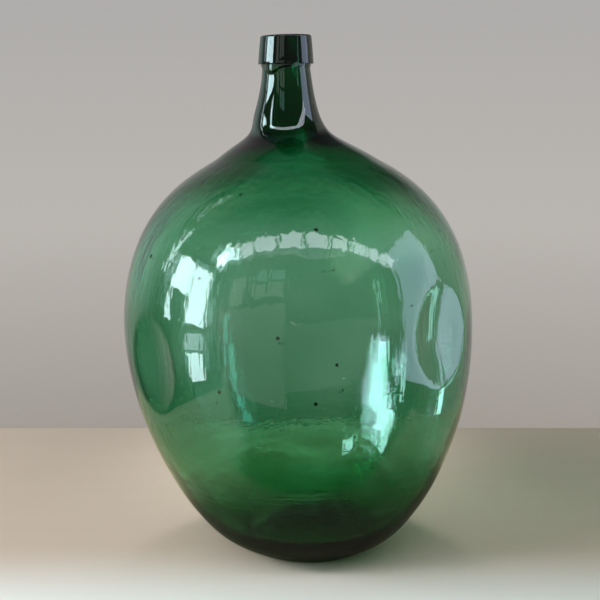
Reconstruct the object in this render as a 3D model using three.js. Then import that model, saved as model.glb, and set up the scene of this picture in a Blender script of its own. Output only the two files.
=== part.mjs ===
// A free-blown green glass demijohn of about 25 litres, standing empty and without a cork.
// Millimetres, +Z up. The origin is on the surface that it stands on, under the middle of the belly,
// and -Y is the front. The vessel is one gather of glass, blown, pushed up underneath and drawn out
// into a neck. The lip is a second gather, wound round the end of the neck and pressed to shape. The
// pontil mark is what the glassmaker's rod left behind in the push-up.
import * as THREE from "three";
import { mergeVertices } from "three/addons/utils/BufferGeometryUtils.js";

// The height of each stretch of the outer wall, from the surface it stands on to the end of the neck
const heelRise = 47.5;
const bellyRise = 178.5;
const shoulderRise = 167;
const rootRise = 31.5;
const neckRise = 77.5;

// The radius of the outer wall where one stretch ends and the next begins
const footRadius = 65.5;
const heelRadius = 118.5;
const bellyRadius = 172.5;
const shoulderRadius = 75;
const neckRootRadius = 34.5;
const neckTopRadius = 22;

// The slope of the outer wall there, in degrees above the horizontal
const footSlope = 29.5;
const heelSlope = 55.5;
const shoulderSlope = 34.5;
const neckRootSlope = 70.5;
const neckTopSlope = 89;

// The thickness of the glass, least where the bubble was blown widest
const footWall = 12;
const heelWall = 5.2;
const bellyWall = 3.2;
const shoulderWall = 6.5;
const puntWall = 9;

// The bore of the neck, and the flare where it opens into the shoulder
const boreRadius = 13.5;
const boreRootRadius = 16;
const boreRootRise = 8;
const boreRootSlope = 78;

// The push-up under the vessel, called the punt, and the ring round it that the vessel stands on
const footRingWidth = 8;
const puntHeight = 22;
const puntMouthSlope = 45;

// The applied lip
const lipHeight = 27;
const lipCover = 5;
const lipTopThickness = 2.4;
const lipBottomThickness = 3.8;
const lipEdgeRound = 1.8;
const lipSeatGap = 0.3;
const skirtHeight = 3;
const skirtThickness = 1.1;

// The drip under the lip, where the hot glass of the skirt ran down the neck
const dripAzimuth = -34;
const dripWidth = 34;
const dripLength = 6;
const dripThickness = 1.4;

// The pontil mark
const pontilOuterRadius = 15;
const pontilInnerRadius = 8.5;
const pontilThickness = 2.4;
const pontilRoughness = 0.9;
const pontilEdge = 0.8;
const pontilMargin = 5;
const pontilSeatGap = 0.3;

// How far the hand-made foot and neck are off the axis of the belly, along +X
const footOffset = 10.5;
const footBendTop = 235;
const neckOffset = -11;
const neckBendMargin = 12;

// Two dents pressed into the hot wall. Each azimuth is counted in degrees from the front towards +X,
// and each middle from the widest part of the belly upwards.
const dents = [
  { azimuth: 50, middle: 15, width: 88, tall: 98, depth: 9.5 },
  { azimuth: -51, middle: -13, width: 74, tall: 92, depth: 8 },
];
const dentRimSoftness = 1.25;

const bodyFacets = 80;
const lipFacets = 60;
const pontilFacets = 36;

const heelHeight = heelRise;
const bellyHeight = heelHeight + bellyRise;
const shoulderHeight = bellyHeight + shoulderRise;
const neckRootHeight = shoulderHeight + rootRise;
const neckEndHeight = neckRootHeight + neckRise;
const lipTopHeight = neckEndHeight + lipCover;
const puntSeatRadius = pontilOuterRadius + pontilMargin;

// A point of the wall where one curve ends and the next begins. Its slope is the direction of the
// wall, in degrees from straight out. Its handles, before and after, are shares of the distance to
// the neighbouring point: the larger, the fuller the curve.
function station(radius, height, slope, before, after, wall) {
  const turn = THREE.MathUtils.degToRad(slope);
  const along = new THREE.Vector2(Math.cos(turn), Math.sin(turn));
  return { at: new THREE.Vector2(radius, height), along, before, after, wall };
}

// The same station on the inner face of the wall.
function insideOf(outer) {
  const inward = new THREE.Vector2(-outer.along.y, outer.along.x);
  return { ...outer, at: outer.at.clone().addScaledVector(inward, outer.wall) };
}

// The points of a smooth wall through stations, with that many steps between each two.
function wallThrough(stations, steps) {
  const points = [stations[0].at];
  for (let i = 1; i < stations.length; i++) {
    const [from, to] = [stations[i - 1], stations[i]];
    const reach = from.at.distanceTo(to.at);
    const leaving = from.at.clone().addScaledVector(from.along, from.after * reach);
    const arriving = to.at.clone().addScaledVector(to.along, -to.before * reach);
    const curve = new THREE.CubicBezierCurve(from.at, leaving, arriving, to.at);
    points.push(...curve.getPoints(steps[i - 1]).slice(1));
  }
  return points;
}

const outerStations = [
  station(footRadius, 0, footSlope, 0, 0.51, footWall),
  station(heelRadius, heelHeight, heelSlope, 0.42, 0.22, heelWall),
  station(bellyRadius, bellyHeight, 90, 0.4, 0.65, bellyWall),
  station(shoulderRadius, shoulderHeight, 180 - shoulderSlope, 0.12, 0.56, shoulderWall),
  station(neckRootRadius, neckRootHeight, 180 - neckRootSlope, 0.29, 0.46, 0),
  station(neckTopRadius, neckEndHeight, 180 - neckTopSlope, 0.25, 0, 0),
];
const outerWall = wallThrough(outerStations, [5, 6, 9, 4, 6]);

const innerStations = [
  station(footRadius, footWall, 0, 0, 0.1, 0),
  ...outerStations.slice(1, 4).map(insideOf),
  station(boreRootRadius, neckRootHeight + boreRootRise, 180 - boreRootSlope, 0.42, 0.3, 0),
  station(boreRadius, neckEndHeight, 90, 0.3, 0, 0),
];
const innerWall = wallThrough(innerStations, [5, 6, 9, 5, 3]);

// The underside of the punt, from its flat top down to the ring that the vessel stands on
const puntUnderside = wallThrough(
  [
    station(puntSeatRadius, puntHeight, 0, 0, 0.3, 0),
    station(footRadius - footRingWidth, 0, -puntMouthSlope, 0.35, 0, 0),
  ],
  [7],
);

// The face inside the vessel that covers the punt
const puntCover = wallThrough(
  [
    station(puntSeatRadius, puntHeight + puntWall, 0, 0, 0.4, 0),
    station(footRadius, footWall, 0, 0.16, 0, 0),
  ],
  [7],
);

// The sideways shift of the vessel's axis at a height: the foot sits to one side of the belly, and
// the neck was drawn out to the other.
function axisShift(height) {
  const foot = Math.max(0, 1 - height / footBendTop) ** 1.3;
  const [from, to] = [shoulderHeight - neckBendMargin, neckRootHeight + neckBendMargin];
  return footOffset * foot + neckOffset * THREE.MathUtils.smoothstep(height, from, to);
}

// How far the dents draw the wall in at an azimuth in degrees and a height.
function dentDepth(azimuth, height) {
  let depth = 0;
  for (const dent of dents) {
    const across = THREE.MathUtils.degToRad(azimuth - dent.azimuth) * bellyRadius;
    const up = height - bellyHeight - dent.middle;
    const reach = (2 * across / dent.width) ** 2 + (2 * up / dent.tall) ** 2;
    depth += dent.depth * Math.max(0, 1 - reach) ** dentRimSoftness;
  }
  return depth;
}

// A profile turned round the Z axis. Each of its points is moved by reshape(radius, azimuth, height),
// which returns a new radius and height, and is then shifted with the vessel's axis.
function turned(profile, facets, reshape) {
  const lathe = new THREE.LatheGeometry(profile, facets).rotateX(Math.PI / 2);
  lathe.deleteAttribute("normal");
  lathe.deleteAttribute("uv");
  const solid = mergeVertices(lathe, 1e-3);
  const position = solid.getAttribute("position");
  for (let i = 0; i < position.count; i++) {
    const [x, y] = [position.getX(i), position.getY(i)];
    const turn = Math.atan2(x, -y);
    const azimuth = THREE.MathUtils.radToDeg(turn);
    const [radius, height] = reshape(Math.hypot(x, y), azimuth, position.getZ(i));
    const shift = axisShift(height);
    position.setXYZ(i, radius * Math.sin(turn) + shift, -radius * Math.cos(turn), height);
  }
  solid.computeVertexNormals();
  return solid;
}

// The outer radius of the neck at a height, read off the wall's own points.
function neckRadiusAt(height) {
  const above = Math.max(1, outerWall.findIndex((point) => point.y >= height));
  const [low, high] = [outerWall[above - 1], outerWall[above]];
  const share = (height - low.y) / (high.y - low.y);
  return THREE.MathUtils.lerp(low.x, high.x, share);
}

// The vessel: one unbroken skin of glass, from the middle of the punt out, up and back down inside.
function glassBody() {
  const profile = [
    new THREE.Vector2(0, puntHeight),
    ...puntUnderside,
    ...outerWall,
    ...innerWall.slice().reverse(),
    ...puntCover.slice(0, -1).reverse(),
    new THREE.Vector2(0, puntHeight + puntWall),
  ];
  return turned(profile, bodyFacets, (radius, azimuth, height) => {
    const inDent = radius > shoulderRadius ? dentDepth(azimuth, height) : 0;
    return [radius - inDent, height];
  });
}

// The lip: a band laid round the end of the neck and over its rim, flared towards its lower edge,
// with a thin skirt under it that ran down the neck in one place.
function appliedLip() {
  const bandBottom = lipTopHeight - lipHeight;
  const skirtBottom = bandBottom - skirtHeight;
  const seatTop = neckEndHeight + lipSeatGap;
  const edge = lipEdgeRound;
  const seat = (height) => neckRadiusAt(Math.min(height, neckEndHeight)) + lipSeatGap;
  const topRadius = seat(neckEndHeight) + lipTopThickness;
  const bottomRadius = seat(bandBottom) + lipBottomThickness;
  const profile = [
    [seat(skirtBottom), skirtBottom],
    [seat(skirtBottom + skirtHeight / 3) + skirtThickness, skirtBottom + skirtHeight / 3],
    [seat(bandBottom) + skirtThickness, bandBottom],
    [bottomRadius - edge / 3, bandBottom],
    [bottomRadius, bandBottom + edge / 3],
    [topRadius, lipTopHeight - edge],
    [topRadius - edge * 0.3, lipTopHeight - edge * 0.3],
    [topRadius - edge, lipTopHeight],
    [boreRadius + edge, lipTopHeight],
    [boreRadius + edge * 0.3, lipTopHeight - edge * 0.3],
    [boreRadius, lipTopHeight - edge],
    [boreRadius, seatTop],
    [seat(neckEndHeight), seatTop],
    [seat((neckEndHeight + bandBottom) / 2), (neckEndHeight + bandBottom) / 2],
    [seat(bandBottom), bandBottom],
    [seat(skirtBottom), skirtBottom],
  ].map(([radius, height]) => new THREE.Vector2(radius, height));
  return turned(profile, lipFacets, (radius, azimuth, height) => {
    if (height >= bandBottom) return [radius, height];
    const across = (2 * (azimuth - dripAzimuth)) / dripWidth;
    const drip = Math.exp(-2 * across * across);
    const lowered = height - (dripLength * drip * (bandBottom - height)) / skirtHeight;
    const outward = radius - seat(height);
    const thickness = outward > 0.01 ? outward + dripThickness * drip : 0;
    return [seat(lowered) + thickness, lowered];
  });
}

// The pontil mark: a rough ring of glass on the flat top of the punt, seen from below.
function pontilMark() {
  const top = puntHeight - pontilSeatGap;
  const bottom = top - pontilThickness;
  const middle = (pontilInnerRadius + pontilOuterRadius) / 2;
  const profile = [
    [pontilInnerRadius, top],
    [pontilInnerRadius + pontilEdge, bottom + pontilEdge],
    [middle, bottom],
    [pontilOuterRadius - pontilEdge, bottom + pontilEdge],
    [pontilOuterRadius, top],
    [pontilInnerRadius, top],
  ].map(([radius, height]) => new THREE.Vector2(radius, height));
  return turned(profile, pontilFacets, (radius, azimuth, height) => {
    const turn = THREE.MathUtils.degToRad(azimuth);
    const rough = pontilRoughness * (Math.sin(3 * turn) + 0.6 * Math.cos(5 * turn));
    return [radius + (radius > middle ? rough : rough / 2), height];
  });
}

const demijohn = new THREE.Group();
for (const [name, geometry, color, roughness] of [
  ["glass_body", glassBody(), 0x2f6b46, 0.04],
  ["applied_lip", appliedLip(), 0x0c2116, 0.06],
  ["pontil_mark", pontilMark(), 0x2a5a3c, 0.35],
]) {
  const mesh = new THREE.Mesh(geometry, new THREE.MeshStandardMaterial({ color, roughness }));
  mesh.name = name;
  demijohn.add(mesh);
}

export default demijohn;
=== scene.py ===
# %% [markdown]
# A free-blown green glass demijohn of about 25 litres. It is one bubble of glass, swung and blown
# by hand, pushed up underneath so that it stands on a ring, and finished with a lip of hot glass.
# The CAD model holds its size and the place of its parts, and this lesson gives it the look of
# old bottle glass: the vessel is drawn again with a finer mesh, and light passes through it.

# %% Load the frame
import math

import bpy
import mathutils
import numpy as np
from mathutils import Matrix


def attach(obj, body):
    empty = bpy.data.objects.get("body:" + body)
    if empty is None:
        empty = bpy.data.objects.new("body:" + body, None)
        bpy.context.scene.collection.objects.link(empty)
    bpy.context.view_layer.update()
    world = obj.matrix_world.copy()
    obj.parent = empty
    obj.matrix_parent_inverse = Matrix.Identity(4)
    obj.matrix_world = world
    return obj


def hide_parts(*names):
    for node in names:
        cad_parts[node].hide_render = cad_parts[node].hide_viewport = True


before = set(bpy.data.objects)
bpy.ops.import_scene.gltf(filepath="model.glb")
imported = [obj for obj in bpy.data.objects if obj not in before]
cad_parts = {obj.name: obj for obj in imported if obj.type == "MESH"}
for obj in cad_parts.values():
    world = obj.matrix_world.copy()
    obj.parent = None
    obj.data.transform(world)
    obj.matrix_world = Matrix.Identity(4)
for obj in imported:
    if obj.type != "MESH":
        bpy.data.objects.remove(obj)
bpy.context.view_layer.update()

MM = 0.001

# %% [markdown]
# The camera stands a little under a metre in front of the vessel and just below the level of its
# mouth, so that the lip is seen from its side and not from above. Its distance and its lens belong
# together, because a camera that comes nearer sees less of the shoulder behind the belly's swell.
# Both were found by matching the outline of the vessel from foot to lip.

# %% The camera
PHOTO_SIDE = 600
FOCAL_LENGTH_IN_PIXELS = 1000
SENSOR_WIDTH = 36
CAMERA_PLACE = (1.76 * MM, -979.5 * MM, 449.5 * MM)
CAMERA_LOOKS_DOWN = 0.200


def make_camera():
    data = bpy.data.cameras.new("photo_camera")
    data.sensor_width = SENSOR_WIDTH
    data.lens = SENSOR_WIDTH * FOCAL_LENGTH_IN_PIXELS / PHOTO_SIDE
    data.dof.use_dof = False
    camera = bpy.data.objects.new("photo_camera", data)
    camera.location = CAMERA_PLACE
    camera.rotation_euler = (math.pi / 2 - CAMERA_LOOKS_DOWN, 0, 0)
    bpy.context.scene.collection.objects.link(camera)
    bpy.context.scene.camera = camera
    return camera


camera = make_camera()
bpy.context.scene.view_settings.view_transform = "Standard"
print("lens", round(camera.data.lens, 1), "mm")

# %% [markdown]
# Every finish here is a tree of nodes. Such a tree can be clicked together in the shader editor,
# but it takes many small steps, so in a script a few helpers come first. One adds a node and sets
# its values by name, and the others do one sum, one mix or one soft step each.

# %% Adding a node


def feed(tree, sockets, values):
    """Gives each input its value, its colour, or a link from another node."""
    for socket, value in zip(sockets, values):
        if isinstance(value, bpy.types.NodeSocket):
            tree.links.new(value, socket)
        elif socket.type == "RGBA":
            socket.default_value = (*value, 1)
        else:
            socket.default_value = value


def add_node(tree, kind, label, **values):
    """A node whose settings and inputs are given by name, as Base_Color for the input Base Color."""
    node = tree.nodes.new(kind)
    node.name = node.label = label
    for key, value in values.items():
        if key in node.bl_rna.properties:
            setattr(node, key, value)
        else:
            feed(tree, [node.inputs[key.replace("_", " ")]], [value])
    return node


def axes(tree, vector, label):
    """The X, Y and Z of a place or a direction."""
    return add_node(tree, "ShaderNodeSeparateXYZ", label, Vector=vector).outputs


print("a node is added by", add_node.__name__)

# %% Sums and mixes


def math_node(tree, operation, first, second, label):
    node = add_node(tree, "ShaderNodeMath", label, operation=operation)
    feed(tree, node.inputs, (first, second))
    return node.outputs[0]


def times(tree, first, second, label):
    return math_node(tree, "MULTIPLY", first, second, label)


def above(tree, value, limit, label):
    """One where the value is above the limit, and zero elsewhere."""
    return math_node(tree, "GREATER_THAN", value, limit, label)


def mix_values(tree, first, second, share, label):
    node = add_node(tree, "ShaderNodeMix", label, data_type="FLOAT")
    feed(tree, (node.inputs[0], *node.inputs[2:4]), (share, first, second))
    return node.outputs[0]


def mix_colours(tree, first, second, share, label, blend="MIX"):
    node = add_node(tree, "ShaderNodeMix", label, data_type="RGBA", blend_type=blend)
    feed(tree, (node.inputs[0], *node.inputs[6:8]), (share, first, second))
    return node.outputs[2]


print("sums and mixes ready")

# %% Soft steps and noise


def share_between(tree, value, low, high, label):
    """Zero where the value is low, one where it is high, and a soft slope between."""
    node = add_node(tree, "ShaderNodeMapRange", label, interpolation_type="SMOOTHSTEP", Value=value)
    feed(tree, (node.inputs["From Min"], node.inputs["From Max"]), (low, high))
    return node.outputs["Result"]


def stretched(tree, place, sizes, label):
    """Noise coordinates in which one unit is that many metres across in X, Y and Z."""
    scale = [1 / size for size in sizes]
    return add_node(tree, "ShaderNodeMapping", label, Vector=place, Scale=scale).outputs["Vector"]


def noise(tree, place, label, detail=2.0, roughness=0.5):
    grain = {"Scale": 1.0, "Detail": detail, "Roughness": roughness}
    return add_node(tree, "ShaderNodeTexNoise", label, Vector=place, **grain).outputs["Fac"]


print("soft steps and noise ready")

# %% [markdown]
# A piece is a mesh with a material in its first slot. Adding a primitive and editing it would give
# that too, but every shape here comes from its own points and faces, so one helper takes those.

# %% Helpers for materials and meshes


def new_material(name):
    """An empty material, its node tree, and the place on the piece in metres."""
    material = bpy.data.materials.new(name)
    material.use_nodes = True
    tree = material.node_tree
    tree.nodes.clear()
    place = add_node(tree, "ShaderNodeTexCoord", "place").outputs["Object"]
    return material, tree, place


def mix_shaders(tree, share, first, second, label):
    node = add_node(tree, "ShaderNodeMixShader", label)
    feed(tree, node.inputs, (share, first, second))
    return node.outputs["Shader"]


def mesh_object(name, points, faces, material):
    mesh = bpy.data.meshes.new(name)
    mesh.from_pydata(points.tolist(), [], faces)
    mesh.validate()
    mesh.polygons.foreach_set("use_smooth", np.ones(len(mesh.polygons), bool))
    mesh.materials.append(material)
    mesh.update()
    made = bpy.data.objects.new(name, mesh)
    bpy.context.scene.collection.objects.link(made)
    return made


print("material and mesh helpers ready")

# %% [markdown]
# The stage is a plain pale table with a soft edge. Its paint is one colour with a faint grain, and it
# is paler and greyer in a band in front of the vessel. The table ends a hand's span behind the
# vessel, and its far edge is the line that shows through the glass. A sculpted table or a painted
# image would tell more than is wanted here, so a slab with a soft bevel and one noise is enough.

# %% The table's paint
TABLE_COLOUR = (0.58, 0.465, 0.395)
TABLE_NEAR_COLOUR = (0.88, 0.90, 0.90)
WORN_SHADE = (0.93, 0.92, 0.90)
GRAIN_SIZES = (0.30, 0.03, 0.03)
# Where the pale band comes in behind and goes out in front
PALE_BAND_BEHIND = (-20 * MM, -180 * MM)
PALE_BAND_IN_FRONT = (-420 * MM, -160 * MM)


def table_paint(tree, place, depth):
    """The paint as the camera sees it."""
    worn = noise(tree, stretched(tree, place, GRAIN_SIZES, "grain"), "worn_paint", 5.0, 0.6)
    pale_band = share_between(tree, depth, *PALE_BAND_BEHIND, "paler_towards_the_front")
    kept = share_between(tree, depth, *PALE_BAND_IN_FRONT, "not_at_the_front_edge")
    pale_band = times(tree, pale_band, kept, "pale_band_in_the_middle")
    colour = mix_colours(tree, TABLE_COLOUR, TABLE_NEAR_COLOUR, pale_band, "far_to_near")
    darker = mix_colours(tree, colour, WORN_SHADE, 1.0, "darker_paint", "MULTIPLY")
    return mix_colours(tree, colour, darker, worn, "paint_tint")


print("table colour", TABLE_COLOUR, "rubbed to", TABLE_NEAR_COLOUR)

# %% [markdown]
# The lower belly mirrors the table, and a mirror of pale paint would wash out the green there. In
# reflections the table is therefore browner, darker in the vessel's own shade, and ends a little
# way in front, where the room is dark. Through the glass it fades out under the vessel. Two real
# tables could do this, one for the camera and one for the glass, but one material can tell the
# rays apart: only those that the glass has turned see any of this.

# %% The table in the glass
TABLE_ECHO = (0.60, 0.47, 0.28)
TABLE_ECHO_SHADE = (0.14, 0.11, 0.06)
SHADE_PLACE = (-50 * MM, 20 * MM, 0)
SHADE_ENDS = (165 * MM, 265 * MM)
# The echo ends in front of this depth, but left of this side only beyond a slanting line
ECHO_FRONT = (-178 * MM, -200 * MM)
ECHO_SIDE = (-190 * MM, -130 * MM)
ECHO_SLANT, ECHO_SLANT_FRONT = 0.9, (-105 * MM, -140 * MM)
# What is seen through the glass fades out from behind the vessel's middle to before it
SEEN_ENDS = (120 * MM, -60 * MM)


def table_echo(tree, place):
    """The colour of the table in reflections."""
    shade = add_node(tree, "ShaderNodeMapping", "shade_place", Vector=place, Location=SHADE_PLACE)
    away = add_node(tree, "ShaderNodeVectorMath", "away", operation="LENGTH", Vector=shade.outputs[0])
    open_share = share_between(tree, away.outputs["Value"], *SHADE_ENDS, "out_of_the_shade")
    return mix_colours(tree, TABLE_ECHO_SHADE, TABLE_ECHO, open_share, "echo")


def table_gap(tree, across, depth, path, reflected):
    """One where rays that the glass has turned pass the table by."""
    front = share_between(tree, depth, *ECHO_FRONT, "in_front")
    right = share_between(tree, across, *ECHO_SIDE, "right_of_the_left_side")
    slant = times(tree, across, ECHO_SLANT, "slant")
    slant = math_node(tree, "SUBTRACT", depth, slant, "in_front_on_the_slant")
    left = share_between(tree, slant, *ECHO_SLANT_FRONT, "front_of_the_left_side")
    echoed = times(tree, front, math_node(tree, "MAXIMUM", right, left, "open"), "near")
    under = share_between(tree, depth, *SEEN_ENDS, "under_the_vessel")
    gap = mix_values(tree, under, echoed, reflected, "seen_or_reflected")
    return times(tree, gap, path["Is Glossy Ray"], "not_by_the_camera")


print("table echo ends at", ECHO_FRONT[0], "m")

# %% Build the table
TABLE_HALF_WIDTH = 440 * MM
TABLE_FRONT, TABLE_BACK = -750 * MM, 347 * MM
TABLE_THICKNESS = 30 * MM
TABLE_EDGE_ROUND = 3 * MM
TABLE_ROUGHNESS = 0.55


def table_material():
    material, tree, place = new_material("pale_table")
    across, depth, _ = axes(tree, place, "how_near")
    path = add_node(tree, "ShaderNodeLightPath", "path").outputs
    reflected = above(tree, path["Glossy Depth"], 0.5, "reflected")
    paint = table_paint(tree, place, depth)
    colour = mix_colours(tree, paint, table_echo(tree, place), reflected, "echo_colour")
    finish = {"Base_Color": colour, "Roughness": TABLE_ROUGHNESS}
    painted = add_node(tree, "ShaderNodeBsdfPrincipled", "table_paint", **finish).outputs["BSDF"]
    unseen = add_node(tree, "ShaderNodeBsdfTransparent", "unseen").outputs["BSDF"]
    gap = table_gap(tree, across, depth, path, reflected)
    surface = mix_shaders(tree, gap, painted, unseen, "front_edge")
    add_node(tree, "ShaderNodeOutputMaterial", "output", Surface=surface)
    return material


def make_table():
    corners = [
        (x, y, z)
        for x in (-TABLE_HALF_WIDTH, TABLE_HALF_WIDTH)
        for y in (TABLE_FRONT, TABLE_BACK)
        for z in (-TABLE_THICKNESS, 0)
    ]
    faces = [(0, 1, 3, 2), (4, 6, 7, 5), (0, 4, 5, 1), (2, 3, 7, 6), (0, 2, 6, 4), (1, 5, 7, 3)]
    table = mesh_object("table_top", np.array(corners), faces, table_material())
    for polygon in table.data.polygons:
        polygon.use_smooth = False
    bevel = table.modifiers.new("soft_edge", "BEVEL")
    bevel.width = TABLE_EDGE_ROUND
    bevel.segments = 3
    return table


table = make_table()
print("table is", round(table.dimensions.y, 3), "m deep")

# %% [markdown]
# Behind the vessel is a plain pale wall, which turns darker overhead as a room does. The wall is a
# colour of the world and not a board, so the camera can walk right round the vessel. A height here
# runs from 0 straight down to 1 straight up, and a ramp gives each height its colour.

# %% The wall's colours
WALL_BY_HEIGHT = [
    (0.33, (0.34, 0.31, 0.28)),
    (0.44, (0.49, 0.465, 0.435)),
    (0.56, (0.42, 0.41, 0.405)),
    (0.74, (0.34, 0.33, 0.33)),
    (0.93, (0.16, 0.18, 0.17)),
]
ROOM_BY_HEIGHT = [
    (0.30, (0.015, 0.022, 0.012)),
    (0.50, (0.12, 0.12, 0.12)),
    (0.75, (0.09, 0.18, 0.12)),
    (0.95, (0.04, 0.08, 0.06)),
]


def height_ramp(tree, label, stops, height):
    ramp = add_node(tree, "ShaderNodeValToRGB", label, Fac=height)
    elements = ramp.color_ramp.elements
    elements[0].position, elements[1].position = stops[0][0], stops[-1][0]
    for position, _ in stops[1:-1]:
        elements.new(position)
    for element, (_, colour) in zip(elements, stops):
        element.color = (*colour, 1)
    return ramp.outputs["Color"]


print("wall colours", len(WALL_BY_HEIGHT), "room colours", len(ROOM_BY_HEIGHT))

# %% [markdown]
# Glass is as dark as the room that it mirrors. So the rays that it throws back find a darker room
# on the camera's side, and a dark ceiling above the place where the wall ends. The shoulder mirrors
# that edge as a contour. A room of real walls could do it, but it would stand in the camera's way
# from behind, so the world itself tells the kinds of rays apart.

# %% The room in the glass
# Behind the vessel the wall meets the ceiling where a ray climbs this much for each metre back
WALL_TOP = 1.78
WALL_TOP_SOFTNESS = (-0.015, 0.02)
# The room comes in where a ray turns from the back to the front, and later if it goes right or up
ROOM_STARTS = {"From_Min": 0.30, "From_Max": -0.05}
ROOM_LEANS = {"X": 0.3, "Z": 0.25}


def ray_kinds(tree):
    """The light path, and shares for rays that glass mirrored and for rays that bounced off."""
    path = add_node(tree, "ShaderNodeLightPath", "path").outputs
    reflected = above(tree, path["Glossy Depth"], 0.5, "reflected")
    straight = math_node(tree, "MAXIMUM", path["Is Camera Ray"], path["Is Transmission Ray"], "straight")
    around = math_node(tree, "SUBTRACT", 1, straight, "not_straight")
    return path, reflected, around


def room_share(tree, parts, reflected, around):
    """One where a ray sees the room or the ceiling and not the wall."""
    leaning = [times(tree, parts[axis], share, "lean_" + axis) for axis, share in ROOM_LEANS.items()]
    lean = math_node(tree, "ADD", *leaning, "lean")
    back = math_node(tree, "ADD", parts["Y"], lean, "how_far_back")
    front = add_node(tree, "ShaderNodeMapRange", "towards_the_room", Value=back, **ROOM_STARTS)
    wall_top = times(tree, parts["Y"], WALL_TOP, "wall_top")
    higher = math_node(tree, "SUBTRACT", parts["Z"], wall_top, "above_the_wall")
    ceiling = share_between(tree, higher, *WALL_TOP_SOFTNESS, "ceiling")
    inner = math_node(tree, "MAXIMUM", front.outputs["Result"], ceiling, "inner_room")
    echoed = math_node(tree, "MAXIMUM", reflected, around, "echoed")
    return times(tree, echoed, inner, "room_share")


print("the wall ends", WALL_TOP, "m up for each metre back")

# %% The side walls in the glass
# In reflections the side walls have their own colours, from a little below the horizon up
SIDE_WALLS = {"left": (-0.40, -0.75, (0.66, 0.92, 0.82)), "right": (0.40, 0.75, (0.50, 0.54, 0.48))}
SIDE_WALL_FOOT = (-0.20, 0.05)
# One corner under the ceiling lies in shade: how high it is, and its two sides
CORNER_SHADE = (0.06, 0.08, 0.07)
CORNER_HEIGHT = (0.25, 0.45)
CORNER_INSIDE = (0.0, 0.25)
CORNER_OUTSIDE = (0.65, 0.35)


def walls_in_the_glass(tree, wall, parts, reflected):
    """The wall with its two sides and its shaded corner, in reflections only."""
    up = share_between(tree, parts["Z"], *SIDE_WALL_FOOT, "above_the_table")
    up = times(tree, up, reflected, "only_in_reflections")
    for side, (start, end, colour) in SIDE_WALLS.items():
        aside = share_between(tree, parts["X"], start, end, side + "_side")
        aside = times(tree, aside, up, side + "_share")
        wall = mix_colours(tree, wall, colour, aside, side + "_wall")
    high = share_between(tree, parts["Z"], *CORNER_HEIGHT, "high")
    inside = share_between(tree, parts["X"], *CORNER_INSIDE, "right_of_the_middle")
    outside = share_between(tree, parts["X"], *CORNER_OUTSIDE, "left_of_the_side")
    corner = times(tree, inside, outside, "corner")
    high = times(tree, high, reflected, "high_in_reflections")
    corner = times(tree, corner, high, "dark_corner")
    return mix_colours(tree, wall, CORNER_SHADE, corner, "wall_and_corner")


print("side walls", list(SIDE_WALLS))

# %% Build the world


def make_world():
    world = bpy.data.worlds.new("pale_room")
    bpy.context.scene.world = world
    world.use_nodes = True
    tree = world.node_tree
    tree.nodes.clear()
    direction = add_node(tree, "ShaderNodeTexCoord", "direction").outputs["Generated"]
    parts = axes(tree, direction, "how_high")
    height = add_node(tree, "ShaderNodeMapRange", "height", Value=parts["Z"], From_Min=-1)
    _, reflected, around = ray_kinds(tree)
    wall = height_ramp(tree, "wall_to_ceiling", WALL_BY_HEIGHT, height.outputs["Result"])
    wall = walls_in_the_glass(tree, wall, parts, reflected)
    room = height_ramp(tree, "room_to_ceiling", ROOM_BY_HEIGHT, height.outputs["Result"])
    share = room_share(tree, parts, reflected, around)
    colour = mix_colours(tree, wall, room, share, "wall_or_room")
    light = add_node(tree, "ShaderNodeBackground", "room_light", Color=colour, Strength=1.0)
    add_node(tree, "ShaderNodeOutputWorld", "output", Surface=light.outputs["Background"])
    return world


world = make_world()
print("world", world.name)

# %% [markdown]
# Glass has no look of its own: it shows what it mirrors. A photographed sky around the vessel would
# do for that, but soft lamps can be set one by one. They are laid out like the openings of a room:
# a tall window to the left, a wide dim one to the right, a row of panes overhead, and a few fainter
# patches. Each draws its shape on the belly. They show only in reflections, never straight through
# the glass, so the background stays plain from every side.

# %% The colours of the lamps
SKY_TINT = (0.70, 0.95, 1.0)
PALE_TINT = (0.90, 0.95, 1.10)
SLATE_TINT = (0.85, 1.02, 1.40)
ROOM_TINT = (1.0, 1.0, 1.0)
STREAK_TINT = (0.15, 1.0, 0.75)
PANE_TINT = (0.85, 1.0, 0.90)
TEAL_TINT = (0.45, 0.95, 0.85)
CEILING_TINT = (0.20, 1.0, 0.65)
MINT_TINT = (0.45, 1.0, 0.9)
FILL_TINT = (1.0, 0.95, 0.55)
# The inner skin of the near wall mirrors a lamp too, in these shares of the lamp's tint
INNER_ECHO = (1.0, 0.35, 0.6)
# The far wall gives a second echo, in a colour of its own. It is strong for a bright window
BRIGHT_ECHO = (98.0, 36.0, 86.0)
SOFT_ECHO = (1.5, 0.8, 1.3)
ROOM_ECHO = (0.1, 0.1, 0.1)
SKYLIGHT_ECHO = (0.04, 0.04, 0.04)
# A ray that has crossed more skins than this comes off the inner skin, or off the far wall
INNER_SKIN, FAR_WALL = 0.5, 3.5


def lamp_nodes(tree, tint, echo, share, inner_share):
    """Lights the room evenly, and shows its colour in reflections but not straight through glass."""
    path, reflected, around = ray_kinds(tree)
    crossed = path["Transmission Depth"]
    inner = above(tree, crossed, INNER_SKIN, "off_the_inner_skin")
    far = above(tree, crossed, FAR_WALL, "off_the_far_wall")
    behind = tuple(a * b * inner_share for a, b in zip(tint, INNER_ECHO))
    shown = mix_colours(tree, tint, behind, inner, "inner_echo")
    shown = mix_colours(tree, shown, echo, far, "far_echo")
    second = mix_colours(tree, (1, 1, 1), shown, reflected, "only_in_reflections")
    spread = times(tree, around, share, "share_on_the_room")
    strength = math_node(tree, "MAXIMUM", reflected, spread, "shown")
    feed(tree, tree.nodes["Emission"].inputs, (second, strength))


print("lamp colours ready")

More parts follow.
